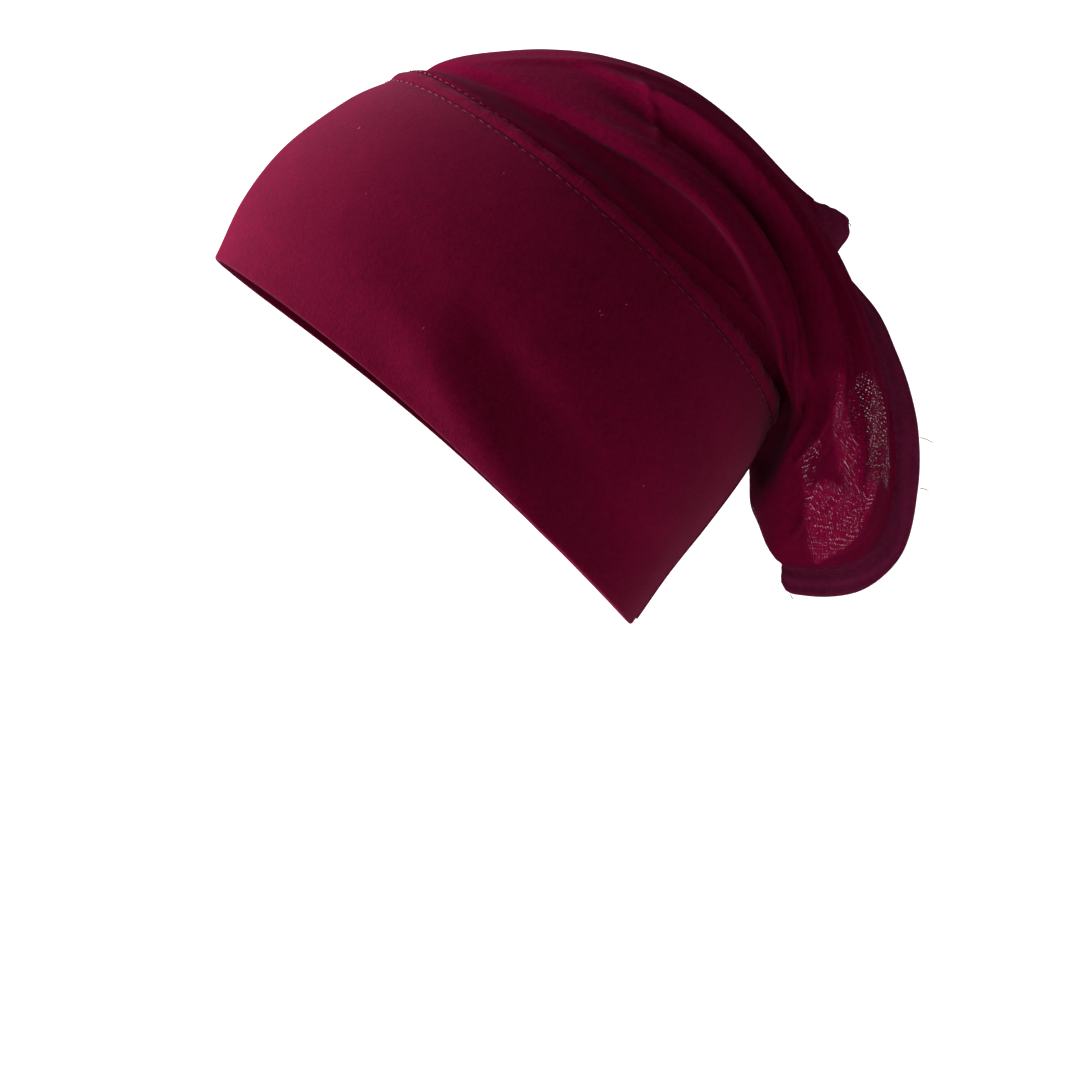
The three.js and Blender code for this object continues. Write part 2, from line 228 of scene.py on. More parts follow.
# The lights: side of the square, place, the point it faces, and spread in degrees
LIGHTS = {
    "key": (1.2, (-0.1, -1.4, 0.58), (0, 0, 0), 72),
    "fill": (0.5, (0.9, 0.75, -0.1), (0, 0.1, 0), 180),
    "wall": (2, (-0.45, 0, 0.8), (-1, 0, 0.8), 180),
}


def number(name, description, default, unit="LENGTH"):
    """A property, a length unless it has another unit."""
    return FloatProperty(name=name, description=description, default=default, unit=unit)


def rgb(name, description, default):
    """A property that is a colour."""
    return FloatVectorProperty(
        name=name, description=description, default=default, subtype="COLOR", min=0, max=1
    )


class CapSizes(bpy.types.PropertyGroup):
    """Sizes of the cap and of its cloth."""

    band_length: number("Band length", "Front to back along the slant", 0.2)
    band_width: number("Band width", "Widest, as packed", PACKED_BAND[1][0] - PACKED_BAND[0][0])
    band_height: number("Band height", "Face edge to crown seam", 0.085)
    band_slant: number("Band slant", "Its tip down to the nape", math.radians(41.2), "ROTATION")
    edge_bow: number("Edge bow", "Rise of the face edge over the ear", 0.005)
    band_wall: number("Band wall", "Two layers of jersey", 0.002)
    jersey: number("Jersey", "Thickness of one layer", 0.0009)
    seam_height: number("Seam height", "Width of the crown seam", 0.007)
    seam_rise: number("Seam rise", "How far the seam stands proud", 0.0021)
    voile: number("Voile", "Thickness of the crown's cloth", 0.0006)
    crown_length: number("Crown length", "Front of the seam to the upper corner", 0.17)
    crown_puff: number("Crown puff", "How far the crown swells", 0.06)
    pouch_drop: number("Pouch drop", "How far the pouch hangs", 0.066)
    fold_height: number("Fold height", "Height of the tallest fold", 0.0068)
    end_sway: number("End sway", "Waves of the closed end", 0.009)
    hem_width: number("Hem width", "Width of the end hem", 0.009)
    hem_overlap: number("Hem overlap", "How far it reaches over the crown", 0.0016)
    hem_thickness: number("Hem thickness", "Doubled hem", 0.0019)
    back_seam_width: number("Back seam width", "Raised seam at the nape", 0.005)
    stitch_pitch: number("Stitch pitch", "From stitch to stitch", 0.0036)
    stitch_length: number("Stitch length", "One stitch", 0.0024)
    thread: number("Thread", "Thickness of the sewing thread", 0.0004)
    knit_pitch: number("Knit pitch", "Width of a knitted rib", 0.0009)
    weave_pitch: number("Weave pitch", "From thread to thread in the voile", 0.001)


class CapColours(bpy.types.PropertyGroup):
    """Colours of the cap and its stage."""

    jersey: rgb("Jersey", "Band", (0.06, 0.0006, 0.0095))
    voile: rgb("Voile", "Crown", (0.058, 0.0006, 0.0095))
    # Partly the hem's own colour, made paler and greyer as painted light coming through it
    hem: rgb("Hem", "End hem", (0.066, 0.005, 0.02))
    thread: rgb("Thread", "Stitches", (0.085, 0.004, 0.019))
    lint: rgb("Lint", "Lint", (0.2, 0.05, 0.08))
    floor: rgb("Floor", "Floor", (0.82, 0.81, 0.8))


class CapStage(bpy.types.PropertyGroup):
    """Camera, light and fineness."""

    camera_distance: number("Camera distance", "To the cap's middle", 0.405)
    camera_back: number("Camera back", "Behind the cap's middle", 0.0123)
    camera_drop: number("Camera drop", "Below the cap's middle", 0.0713)
    camera_lens: number("Lens", "On a sensor 36 mm wide", 36.67, "CAMERA")
    floor_drop: number("Floor drop", "Below the cap's middle", 0.42)
    wall_distance: number("Wall distance", "Behind the cap's middle", 1.8)
    key_power: number("Key light", "Its power", 33, "POWER")
    fill_power: number("Fill light", "Its power", 0.8, "POWER")
    wall_power: number("Wall light", "Its power", 48, "POWER")
    sky: number("Sky", "Strength of the white sky", 0.47, "NONE")
    around: IntProperty(name="Steps around", description="Grid of the cloth", default=300)
    along: IntProperty(name="Steps along", description="Grid of the crown", default=150)


def ease(low, high, value):
    """Eases from 0 at low to 1 at high, with a level start and end."""
    share = np.clip((value - low) / (high - low), 0, 1)
    return share * share * (3 - 2 * share)


def three_point(share, start, middle, end):
    """The parabola through three values at shares 0, one half and 1."""
    return (
        2 * (share - 0.5) * (share - 1) * start
        + 4 * share * (1 - share) * middle
        + 2 * share * (share - 0.5) * end
    )


def ridge(table, place, down, fade=0.3):
    """The sum of a table's folds. Across a fold its height follows half a wave of
    the cosine, raised to the fold's sharpness, with its own width on each side of
    its line, and along the fold it rises and falls at its ends."""
    total = np.zeros(np.broadcast(place, down).shape)
    for height, high, middle, low, before, behind, start, end, sharp in table.values():
        share = (down - start) / (end - start)
        offset = place - CROWN_START - three_point(share, high, middle, low)
        reach = np.minimum(np.abs(offset / np.where(offset < 0, before, behind)), 1)
        ends = ease(0, fade, share) * ease(0, fade, 1 - share)
        total += height * ends * ((1 + np.cos(np.pi * reach)) / 2) ** sharp
    return total


def patch_depth(corners, down, place):
    """How far a point lies inside an outline, in metres, and negative outside it: the
    distance to the nearest side. Inside, a level ray passes an odd number of sides."""
    ends = np.array(corners) * PATCH_SCALE
    x, y = np.broadcast_arrays(down * PATCH_SCALE[0], (place - CROWN_START) * PATCH_SCALE[1])
    nearest, inside = np.full(x.shape, np.inf), np.zeros(x.shape, bool)
    for (x0, y0), (x1, y1) in zip(ends, np.roll(ends, -1, axis=0)):
        run, rise = x1 - x0, y1 - y0
        share = np.clip(((x - x0) * run + (y - y0) * rise) / (run**2 + rise**2), 0, 1)
        nearest = np.minimum(nearest, np.hypot(x - x0 - share * run, y - y0 - share * rise))
        inside ^= ((y0 > y) != (y1 > y)) & (x < x0 + run * (y - y0) / (rise or 1))
    return np.where(inside, nearest, -nearest)


def ripples(seed, a, b, scale_a, scale_b, count=14):
    """Smooth seeded unevenness: a sum of waves of random direction and phase over
    two parameters, between about -1 and 1."""
    draw = np.random.default_rng(seed)
    total = 0
    for _ in range(count):
        heading, phase = draw.uniform(0, 2 * np.pi, 2)
        size = draw.uniform(0.6, 1.8)
        way = a / scale_a * np.cos(heading) + b / scale_b * np.sin(heading)
        total = total + np.sin(2 * np.pi * size * way + phase)
    return total / math.sqrt(count) / 1.4


class CapSurface:
    """The cloth's outer surface, with the cap's sizes."""

    def __init__(self, sizes):
        self.sizes = sizes
        slant = sizes.band_slant
        self.along_band = np.array([math.cos(slant), -math.sin(slant)])
        self.up_band = np.array([math.sin(slant), math.cos(slant)])
        rows = [self.band_section(row, row[0] * sizes.band_height) for row in BAND_SECTIONS]
        seam = self.band_section(SEAM_TOP_SECTION, sizes.band_height + sizes.seam_height)
        scale = np.repeat([sizes.crown_length, sizes.pouch_drop, sizes.crown_puff, seam[8]], [2, 2, 4, 1])
        base = np.hstack([seam[:4], np.zeros(5)])
        rows += [seam] + [base + np.array(row) * scale for row in CROWN_SECTIONS.values()]
        self.rows = np.array(rows)

    def band_section(self, row, height):
        """Top, foot, shoulder and belly as steps back and up, then the half width."""
        _, front, back, side, bow = row
        sizes = self.sizes
        rise = (height - (sizes.band_height + sizes.seam_height) / 2) * self.up_band
        half = sizes.band_length / 2 * self.along_band
        lift = sizes.edge_bow * bow * self.up_band
        ends = [rise - front * half, rise + back * half]
        return np.hstack([*ends, lift, lift, [side * sizes.band_width / 2]])

    def blend(self, place):
        """Catmull and Rom's spline through the sections, one column each."""
        rows = self.rows
        padded = np.vstack([2 * rows[0] - rows[1], rows, 2 * rows[-1] - rows[-2]])
        index = np.clip(np.floor(place).astype(int), 0, len(rows) - 2)
        t = (place - index)[..., None]
        before, start, end, after = (padded[index + step] for step in range(4))
        return (
            (2 * t**3 - 3 * t**2 + 1) * start
            + (t**3 - 2 * t**2 + t) * (end - before) / 2
            + (3 * t**2 - 2 * t**3) * end
            + (t**3 - t**2) * (after - start) / 2
        )

    def smooth(self, turn, place):
        """The unfolded surface. In the side view a section is the cubic through its
        top, shoulder, belly and foot. Across, it is a blunted sine of the turn."""
        turn, place = np.broadcast_arrays(turn, place)
        down = (1 - np.cos(turn)) / 2
        row = self.blend(place)
        shoulder = 13.5 * down * (2 / 3 - down) * (1 - down)
        belly = 13.5 * down * (down - 1 / 3) * (1 - down)
        s = down[..., None]
        flat = row[..., 0:2] * (1 - s) + row[..., 2:4] * s
        flat = flat + row[..., 4:6] * shoulder[..., None] + row[..., 6:8] * belly[..., None]
        wave = np.sin(2.4 * np.pi * down - 1) * np.sin(np.pi * down)
        sway = self.sizes.end_sway * ease(CROWN_END - 3, CROWN_END, place) * wave
        breadth = np.sign(np.sin(turn)) * np.abs(np.sin(turn)) ** BLUNTNESS
        across = row[..., 8] * breadth * (1 - FOOT_BREADTH * np.cos(turn)) + sway
        return np.concatenate([across[..., None], flat], axis=-1)

    def relief(self, turn, place):
        """How far the cloth stands off the unfolded surface: its folds, fine uneven ones,
        gathers towards the foot, and puckers beside the seam as a wave round the cap."""
        turn, place = np.broadcast_arrays(turn, place)
        down = (1 - np.cos(turn)) / 2
        right = np.sin(turn) < 0
        from_seam, to_end = place - CROWN_START, CROWN_END - place
        crown = ridge(FOLDS, place - np.where(right, RIGHT_SHIFT, 0), down)
        crown = crown * np.where(right, RIGHT_HEIGHT, 1)
        fine = ripples(3, turn, place, 0.9, 2.6) * ease(0.05, 0.6, down)
        gathers = ripples(5, down, place, 0.9, 0.42)
        gathers *= ease(0.55, 0.85, down) * ease(1.02, 0.9, down)
        inside = ease(0, 0.8, from_seam) * ease(0, 0.8, to_end)
        crown = (crown * self.sizes.fold_height + fine * 0.5 * MM + gathers * 0.3 * MM) * inside
        puckers = np.sin(turn * 57 + 3 * np.sin(turn * 9)) * (0.6 + 0.4 * np.sin(turn * 13 + 1))
        near_seam = ease(0, 0.3, from_seam) * ease(1.3, 0.3, from_seam)
        crown = crown + puckers * near_seam * 0.22 * MM
        return np.where(place > CROWN_START, crown, self.band_relief(turn, place, down))

    def band_relief(self, turn, place, down):
        """Dents and folds. A dent is a bell curve over the place and over the way down,
        where its lower side has a sharpness of its own."""
        total = np.zeros(place.shape)
        for height, at_down, at_place, upper, lower, half_place, lean, sharp in BAND_DENTS.values():
            offset = down - at_down - lean * (place - at_place)
            across = np.where(offset < 0, (offset / upper) ** 2, np.abs(offset / lower) ** sharp)
            total += height * MM * np.exp(-across - ((place - at_place) / half_place) ** 2)
        total += ridge(BAND_FOLDS, place, down) * self.sizes.fold_height
        total += ripples(7, turn, place, 1.1, 3.2) * 0.3 * MM
        return total * ease(BAND_END + 0.3, BAND_END - 1, place)

    def normals(self, surface, turn, place, step=0.01):
        """Outward normals, from the surface's slopes round and along."""
        around = surface(turn + step, place) - surface(turn - step, place)
        along = surface(turn, place + step) - surface(turn, place - step)
        normal = np.cross(around, along)
        return normal / np.linalg.norm(normal, axis=-1, keepdims=True)

    def folded(self, turn, place):
        """The unfolded surface, moved along its normals by the relief."""
        lift = self.relief(turn, place)[..., None]
        return self.smooth(turn, place) + self.normals(self.smooth, turn, place) * lift

    def cloth(self, turn, place, lift=0.0):
        """A point of the cloth, lifted along the cloth's own normal."""
        offset = np.asarray(lift)[..., None]
        return self.folded(turn, place) + self.normals(self.folded, turn, place) * offset


def cap_setting():
    """The surface, its sizes and the stage's settings."""
    scene = bpy.context.scene
    return CapSurface(scene.cap_sizes), scene.cap_sizes, scene.cap_stage


def grid_uv(rows, columns):
    """Texture coordinates in metres, as a grid of (row, column) lengths."""
    return np.stack(np.broadcast_arrays(columns, rows[:, None]), axis=-1)


def new_mesh(name, points, faces):
    """A smooth mesh."""
    mesh = bpy.data.meshes.new(name)
    mesh.from_pydata(points.reshape(-1, 3).tolist(), [], faces)
    mesh.polygons.foreach_set("use_smooth", np.ones(len(faces), bool))
    mesh.update()
    return mesh


def cloth_mesh(name, points, uv, loop_rows=False, loop_columns=True, more_faces=(), attributes=None):
    """A mesh from a grid of points, closed on itself along rows or columns where
    asked. uv has one more row or column than the points where they close."""
    height, width = points.shape[:2]
    rows = np.arange(height if loop_rows else height - 1)
    columns = np.arange(width if loop_columns else width - 1)
    i, j = (a.ravel() for a in np.meshgrid(rows, columns, indexing="ij"))
    corner = np.array([(i, j), (i, j + 1), (i + 1, j + 1), (i + 1, j)])
    index = (corner[:, 0] % height) * width + corner[:, 1] % width
    mesh = new_mesh(name, points, index.T.tolist() + list(more_faces))
    places = uv[corner[:, 0], corner[:, 1]].transpose(1, 0, 2).reshape(-1, 2)
    flat = uv[:height, :width].reshape(-1, 2)
    places = np.vstack([places, *(flat[face] for face in more_faces)])
    layer = mesh.uv_layers.new(name="cloth")
    layer.data.foreach_set("uv", places.astype(np.float32).ravel())
    for key, values in (attributes or {}).items():
        data = mesh.attributes.new(key, "FLOAT", "POINT").data
        data.foreach_set("value", values.astype(np.float32).ravel())
    return mesh


def faces_in(mesh):
    """Whether a closed mesh's faces point inward, told by the sign of its volume."""
    shape = bmesh.new()
    shape.from_mesh(mesh)
    volume = shape.calc_volume(signed=True)
    shape.free()
    return volume < 0


def strip_mesh(name, points, lengths):
    """A closed strip with closed ends from points by side and station, with the
    lengths of its stations."""
    sides, count = points.shape[:2]
    first = [side * count for side in range(sides)]
    caps = [first, [start + count - 1 for start in reversed(first)]]
    uv = grid_uv(ring_lengths(points[:, 0]), lengths)
    return cloth_mesh(name, points, uv, loop_rows=True, loop_columns=False, more_faces=caps)


def add_object(name, data):
    """Puts an object with its data into the scene."""
    thing = bpy.data.objects.new(name, data)
    bpy.context.scene.collection.objects.link(thing)
    return thing


def add_piece(name, mesh, material, nodes=()):
    """Puts a mesh into the scene as a piece of the cap, with its faces out."""
    if faces_in(mesh):
        mesh.flip_normals()
    piece = add_object(name, mesh)
    mesh.materials.append(finish_materials()[material])
    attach(piece, "root")
    if nodes:
        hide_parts(*nodes)
    return piece


class Finish:
    """A material in the making: its nodes are added and linked by name."""

    def __init__(self, name):
        self.material = bpy.data.materials.new(name)
        self.material.use_nodes = True
        self.tree = self.material.node_tree
        self.shader = self.tree.nodes["Principled BSDF"]

    def node(self, kind, inputs=(), **settings):
        """Adds a node with its settings, and fills or links its inputs."""
        node = self.tree.nodes.new(f"ShaderNode{kind}")
        for key, value in settings.items():
            setattr(node, key, value)
        for key, value in dict(inputs).items():
            self.put(node, key, value)
        return node

    def put(self, node, key, value):
        """Links a socket to an input, or gives the input a value."""
        if isinstance(value, bpy.types.NodeSocket):
            self.tree.links.new(value, node.inputs[key])
        else:
            node.inputs[key].default_value = value

    def math(self, operation, a, b=0.0):
        return self.node("Math", {0: a, 1: b}, operation=operation).outputs[0]

    def noise(self, vector, scale, detail):
        inputs = {"Vector": vector, "Scale": scale, "Detail": detail, "Roughness": 0.6}
        return self.node("TexNoise", inputs).outputs[0]

    def speckle(self, scale, detail):
        """Noise in the object's own space."""
        return self.noise(self.node("TexCoord").outputs["Object"], scale, detail)

    def spread(self, value, low, high, to_low, to_high):
        """A value's range carried over to another one, with its ends held."""
        inputs = {"Value": value, "From Min": low, "From Max": high, "To Min": to_low, "To Max": to_high}
        return self.node("MapRange", inputs).outputs[0]

    def mottled(self, shade, noise, amount):
        """A shade made darker and lighter by a noise, by one amount."""
        return self.math("ADD", shade, self.spread(noise, 0.3, 0.7, -amount, amount))

    def tint(self, colour, factor):
        """A colour times a factor that varies over the surface."""
        grey = self.node("CombineColor", {0: factor, 1: factor, 2: factor}).outputs[0]
        inputs = {0: 1.0, 6: (*colour, 1), 7: grey}
        return self.node("Mix", inputs, data_type="RGBA", blend_type="MULTIPLY").outputs[2]

    def bumps(self, *layers):
        """A normal from layers of height, distance and strength, one over the other."""
        inputs = {}
        for height, distance, strength in layers:
            inputs |= {"Height": height, "Distance": distance, "Strength": strength}
            inputs["Normal"] = self.node("Bump", inputs).outputs[0]
        return inputs["Normal"]

    def set(self, **inputs):
        """Fills the shader's inputs, named with underscores for their spaces."""
        for key, value in inputs.items():
            self.put(self.shader, key.replace("_", " "), value)


def cloth_axes(look):
    """The cloth's own lengths round and along the cap."""
    place = look.node("UVMap", uv_map="cloth").outputs[0]
    axes = look.node("SeparateXYZ", {0: place})
    return place, axes.outputs[0], axes.outputs[1]


def jersey_finish():
    """Brushed jersey: fine knitted ribs under a fuzz, a mottled dye and a soft sheen."""
    scene = bpy.context.scene
    look = Finish("brushed_jersey")
    _, *axes = cloth_axes(look)
    turn = 2 * math.pi / scene.cap_sizes.knit_pitch
    ribs, loops = (look.math("SINE", look.math("MULTIPLY", length, turn)) for length in axes)
    fuzz = look.speckle(1050, 4)
    nap = look.speckle(330, 3)
    mottle = look.speckle(55, 2)
    shade = look.mottled(look.spread(fuzz, 0.3, 0.7, 0.74, 1.24), nap, 0.07)
    shade = look.mottled(shade, mottle, 0.07)
    knit = look.math("ADD", look.math("MULTIPLY", ribs, 0.6), look.math("MULTIPLY", loops, 0.3))
    normal = look.bumps((knit, 0.00008, 0.5), (nap, 0.00018, 0.4), (fuzz, 0.00035, 0.8))
    look.set(Base_Color=look.tint(scene.cap_colours.jersey, shade), Normal=normal)
    look.set(Sheen_Weight=0.042, Sheen_Roughness=0.5, Sheen_Tint=(1, 0.5, 0.75, 1))
    look.set(Roughness=0.9, Specular_IOR_Level=0.0)
    return look.material


def voile_finish(name, colour, thin):
    """Plain weave: two sets of threads that pass over each other, thicker and thinner
    along their length. A thin one opens into gaps where its attributes say, and there
    its colour is lightened as a painted glow of light coming through."""
    look = Finish(name)
    place, around, along = cloth_axes(look)
    wander = look.noise(place, 160, 2)
    turn = math.pi / bpy.context.scene.cap_sizes.weave_pitch
    threads = []
    for length, amount in ((around, 2.4), (along, 1.8)):
        sway = look.math("MULTIPLY", wander, amount)
        phase = look.math("ADD", look.math("MULTIPLY", length, turn), sway)
        threads.append(look.math("ABSOLUTE", look.math("SINE", phase)))
    slubs = [
        look.noise(look.node("Mapping", {0: place, 3: scale}).outputs[0], 1300, 2)
        for scale in ((1, 0.12, 1), (0.12, 1, 1))
    ]
    uneven = look.math("ADD", *slubs)
    thinner = look.spread(uneven, 0.7, 1.3, 0.26, -0.26)
    hole = look.math("ADD", look.math("MULTIPLY", *threads), thinner)
    mottle = look.speckle(70, 3)
    grain = look.speckle(560, 4)
    shade = look.mottled(look.spread(hole, 0.1, 0.9, 1.06, 0.92), mottle, 0.09)
    shade = look.mottled(shade, grain, 0.14)
    normal = look.bumps((hole, 0.00012, 0.3), (uneven, 0.00016, 0.5), (grain, 0.0005, 0.55))
    if thin:
        keys = ("openness", "glow", "lining")
        nodes = [look.node("Attribute", attribute_name=key) for key in keys]
        openness, glow, lining = (node.outputs["Fac"] for node in nodes)
        # Painted glow: the colour is lightened up to twice where light comes through the thin cloth
        shade = look.math("MULTIPLY", shade, look.spread(glow, 0, 1, 1, 2))
        # The cloth's inner face gives way, so that its outer one alone draws the gaps
        gaps = look.math("MULTIPLY", openness, look.spread(hole, 0.76, 0.91, 0, 1))
        gaps = look.math("MAXIMUM", gaps, lining)
        gaps = look.math("MULTIPLY", gaps, look.spread(openness, 0.1, 0.3, 0, 1))
        look.set(Alpha=look.math("SUBTRACT", 1.0, gaps))
    look.set(Base_Color=look.tint(colour, shade), Normal=normal)
    look.set(Sheen_Weight=0.02, Sheen_Roughness=0.5, Sheen_Tint=(1, 0.35, 0.65, 1))
    look.set(Roughness=0.85, Specular_IOR_Level=0.0)
    return look.material


def thread_finish(name, colour):
    """Twisted thread: a slight change of shade along its plies."""
    look = Finish(name)
    plies = look.speckle(2600, 2)
    look.set(Base_Color=look.tint(colour, look.spread(plies, 0.3, 0.7, 0.75, 1.2)))
    look.set(Normal=look.bumps((plies, 0.00006, 0.6)), Roughness=0.55, Specular_IOR_Level=0.08)
    return look.material


def turns(count):
    """Even turns round a section, from its top."""
    return np.arange(count) * 2 * np.pi / count


def around_lengths(surface, place, count):
    """Lengths round a section from its top, one more than the steps."""
    return along_lengths(surface.smooth(np.linspace(0, 2 * np.pi, count + 1), place))


def along_lengths(points):
    """Lengths along a path of points."""
    return np.hstack([[0], np.cumsum(np.linalg.norm(np.diff(points, axis=0), axis=1))])


def ring_lengths(points):
    """Lengths round a closed path of points, one more than the points."""
    return along_lengths(np.vstack([points, points[:1]]))


def finish_materials():
    """Every material by name, made once."""
    if "brushed_jersey" not in bpy.data.materials:
        colours = bpy.context.scene.cap_colours
        jersey_finish()
        voile_finish("open_voile", colours.voile, True)
        # The hem's colour holds painted light coming through it
        voile_finish("doubled_voile", colours.hem, False)
        thread_finish("sewing_thread", colours.thread)
        thread_finish("pale_lint", colours.lint)
    return bpy.data.materials


class CAP_OT_headband(bpy.types.Operator):
    """Makes the doubled jersey band: one strip folded at the face edge"""

    bl_idname = "cap.headband"
    bl_label = "Head Band"

    def execute(self, context):
        surface, sizes, stage = cap_setting()
        steps = stage.along // 3
        up = np.linspace(0, BAND_END, steps)
        wall = sizes.band_wall
        # The fold is half a turn of each face about the middle of the wall
        bend = np.linspace(0, np.pi, FOLD_POINTS)[1:-1]
        reach = wall / 2 / (BAND_SECTIONS[1][0] * sizes.band_height)
        gap = (wall - 2 * sizes.jersey) / wall
        nose = (-np.sin(bend) * reach, -wall / 2 * (1 - np.cos(bend)))
        hollow = (-np.sin(bend) * reach * gap, -wall / 2 * (1 - gap * np.cos(bend)))
        # Places and lifts down the outside, round the fold and up the inside, then between
        # the layers down, round the hollow of the fold and up
        runs = (
            (up[::-1], 0), nose, (up, -wall),
            (up[::-1], sizes.jersey - wall), (hollow[0][::-1], hollow[1][::-1]), (up, -sizes.jersey),
        )
        places = np.hstack([place for place, _ in runs])
        lifts = np.hstack([lift + 0 * place for place, lift in runs])
        points = surface.cloth(turns(stage.around), places[:, None], lifts[:, None])
        uv = grid_uv(ring_lengths(points[:, 0]), around_lengths(surface, BAND_END / 2, stage.around))
        mesh = cloth_mesh("band_cloth", points, uv, loop_rows=True)
        piece = add_piece("band_cloth", mesh, "brushed_jersey", ["headband"])
        return {"FINISHED"}


class CAP_OT_crown(bpy.types.Operator):
    """Makes the thin crown: a bag that is open at the seam and flat at its end"""

    bl_idname = "cap.crown"
    bl_label = "Crown"

    def execute(self, context):
        surface, sizes, stage = cap_setting()
        count = stage.around
        outer_place = np.linspace(CROWN_END, CROWN_START, stage.along)
        inner_place = np.linspace(CROWN_START, CROWN_END - 0.08, stage.along)
        places = np.hstack([outer_place, inner_place])
        lifts = np.repeat([0.0, -sizes.voile], stage.along)
        turn = turns(count)
        points = surface.cloth(turn, places[:, None], lifts[:, None])
        lengths = along_lengths(surface.smooth(WEAVE_TURN, outer_place))
        lengths = np.hstack([lengths, lengths[::-1]])
        uv = grid_uv(lengths, around_lengths(surface, WEAVE_SECTION, count))
        down = (1 - np.cos(turn)) / 2
        # The painted glow: light coming through the thin patches, painted into their colour
        openness, glow = np.zeros((2, len(places), count))
        for share, painted_glow_share, corners in THIN_PATCHES.values():
            within = ease(-0.002, 0.002, patch_depth(corners, down, places[:, None]))
            openness, glow = np.maximum(openness, within * share), np.maximum(glow, within * painted_glow_share)
        sheer = ease(*SHEER_SECTIONS, places[:, None] - CROWN_START) * ease(*SHEER_DOWNS, down)
        openness = np.where(np.sin(turn) < -1e-9, np.maximum(openness, sheer), openness)
        lining = np.repeat([0.0, 1.0], stage.along * count)
        # Each end is closed flat, by faces between its left half and its right half
        first_end = [[j, (count - j) % count, count - j - 1, j + 1] for j in range(count // 2)]
        first_end = [list(dict.fromkeys(face)) for face in first_end]
        last = (len(places) - 1) * count
        second_end = [[v + last for v in face[::-1]] for face in first_end]
        ends = first_end + second_end
        attributes = {"openness": openness, "glow": glow, "lining": lining}
        mesh = cloth_mesh("crown_cloth", points, uv, more_faces=ends, attributes=attributes)
        piece = add_piece("crown_cloth", mesh, "open_voile", ["crown_bag"])
        return {"FINISHED"}


class CAP_OT_seam(bpy.types.Operator):
    """Makes the raised crown seam between band and crown"""

    bl_idname = "cap.seam"
    bl_label = "Crown Seam"

    def execute(self, context):
        surface, sizes, stage = cap_setting()
        # The seam keeps a fifth of a millimetre from band and crown
        margin = 0.0002 / sizes.seam_height
        share = np.linspace(0, 1, SEAM_POINTS)
        turn = turns(stage.around)
        uneven = 1 + 0.22 * ripples(11, turn, turn * 0, 0.12, 1)
        uneven *= 0.4 + 0.6 * ease(0.12, 0.42, (1 - np.cos(turn)) / 2)
        top = np.sin(np.pi * share)[:, None] ** 0.85 * sizes.seam_rise * uneven
        places = np.hstack([share, share[::-1]])[:, None] * (1 - 2 * margin) + BAND_END + margin
        lifts = np.vstack([top, 0 * top - sizes.band_wall])
        points = surface.cloth(turn, places, lifts)
        uv = grid_uv(ring_lengths(points[:, 0]), around_lengths(surface, BAND_END, stage.around))
        mesh = cloth_mesh("seam_ridge", points, uv, loop_rows=True)
        add_piece("seam_ridge", mesh, "brushed_jersey", ["join_seam"])
        return {"FINISHED"}


def hem_frame(surface, downs):
    """The hem's start, its way outward and its face normal, for shares of the way down.
    The way is square to the closed end, then twisted about it and leant along it."""
    sizes = surface.sizes
    table = np.array(HEM_SECTIONS)
    index = np.clip(np.searchsorted(table[:, 0], downs), 1, len(table) - 1)
    share = ease(table[index - 1, 0], table[index, 0], downs)[:, None]
    row = table[index - 1] * (1 - share) + table[index] * share
    # The middle of the closed end, between its left and right halves
    turn = np.arccos(1 - 2 * downs)
    edge = (surface.cloth(turn, CROWN_END) + surface.cloth(2 * np.pi - turn, CROWN_END)) / 2
    onward = np.gradient(edge, axis=0) * [0, 1, 1]
    onward /= np.linalg.norm(onward, axis=1, keepdims=True)
    to_right = np.array([-1, 0, 0])
    outward = np.cross(onward, to_right)
    twist = np.radians(row[:, 3:4])
    reach = outward * np.cos(twist) + to_right * np.sin(twist)
    face = np.cross(onward, reach)
    start = edge - outward * sizes.hem_overlap
    width, lean = row[:, 1:2] * sizes.hem_width, row[:, 2:3] * sizes.hem_width
    way = reach * (width + sizes.hem_overlap) + onward * lean
    # The strip's corners are quarters of an ellipse
    inward = 1 - np.clip(np.minimum(downs, 1 - downs) / HEM_CORNER[0], 0, 1)
    way *= 1 - HEM_CORNER[1] * (1 - np.sqrt(1 - inward[:, None] ** 2))
    return start, way, face


class CAP_OT_hem(bpy.types.Operator):
    """Makes the doubled hem that closes the crown, a wavy strip with soft edges"""

    bl_idname = "cap.hem"
    bl_label = "End Hem"

    def execute(self, context):
        surface, sizes, stage = cap_setting()
        downs = np.linspace(0, 1, stage.along)
        start, way, face = hem_frame(surface, downs)
        angle = turns(HEM_POINTS)[:, None]
        # A rounded outline: nearly flat faces with soft edges and a stitched groove
        across = (1 - np.cos(angle)) / 2
        across = ease(0, 1, across) * 0.35 + across * 0.65
        thick = np.sign(np.sin(angle)) * np.abs(np.sin(angle)) ** 0.45
        thick = thick * (1 - 0.35 * np.exp(-(((across - 0.2) / 0.07) ** 2)))
        wave = ripples(17, downs, downs * 0, 0.16, 1) * 0.5 * MM
        drift = ripples(19, downs, downs * 0, 0.4, 1)
        pleats = np.sin(across * 15 + 2.5 * drift) * 0.45 * MM
        pleats *= ease(0, 0.3, across) * ease(1, 0.8, across)
        lift = thick * sizes.hem_thickness / 2 + wave * across + pleats
        points = start + way * across[..., None] + face * lift[..., None]
        mesh = strip_mesh("hem_strip", points, along_lengths(points[0]))
        add_piece("hem_strip", mesh, "doubled_voile", ["end_hem"])
        return {"FINISHED"}


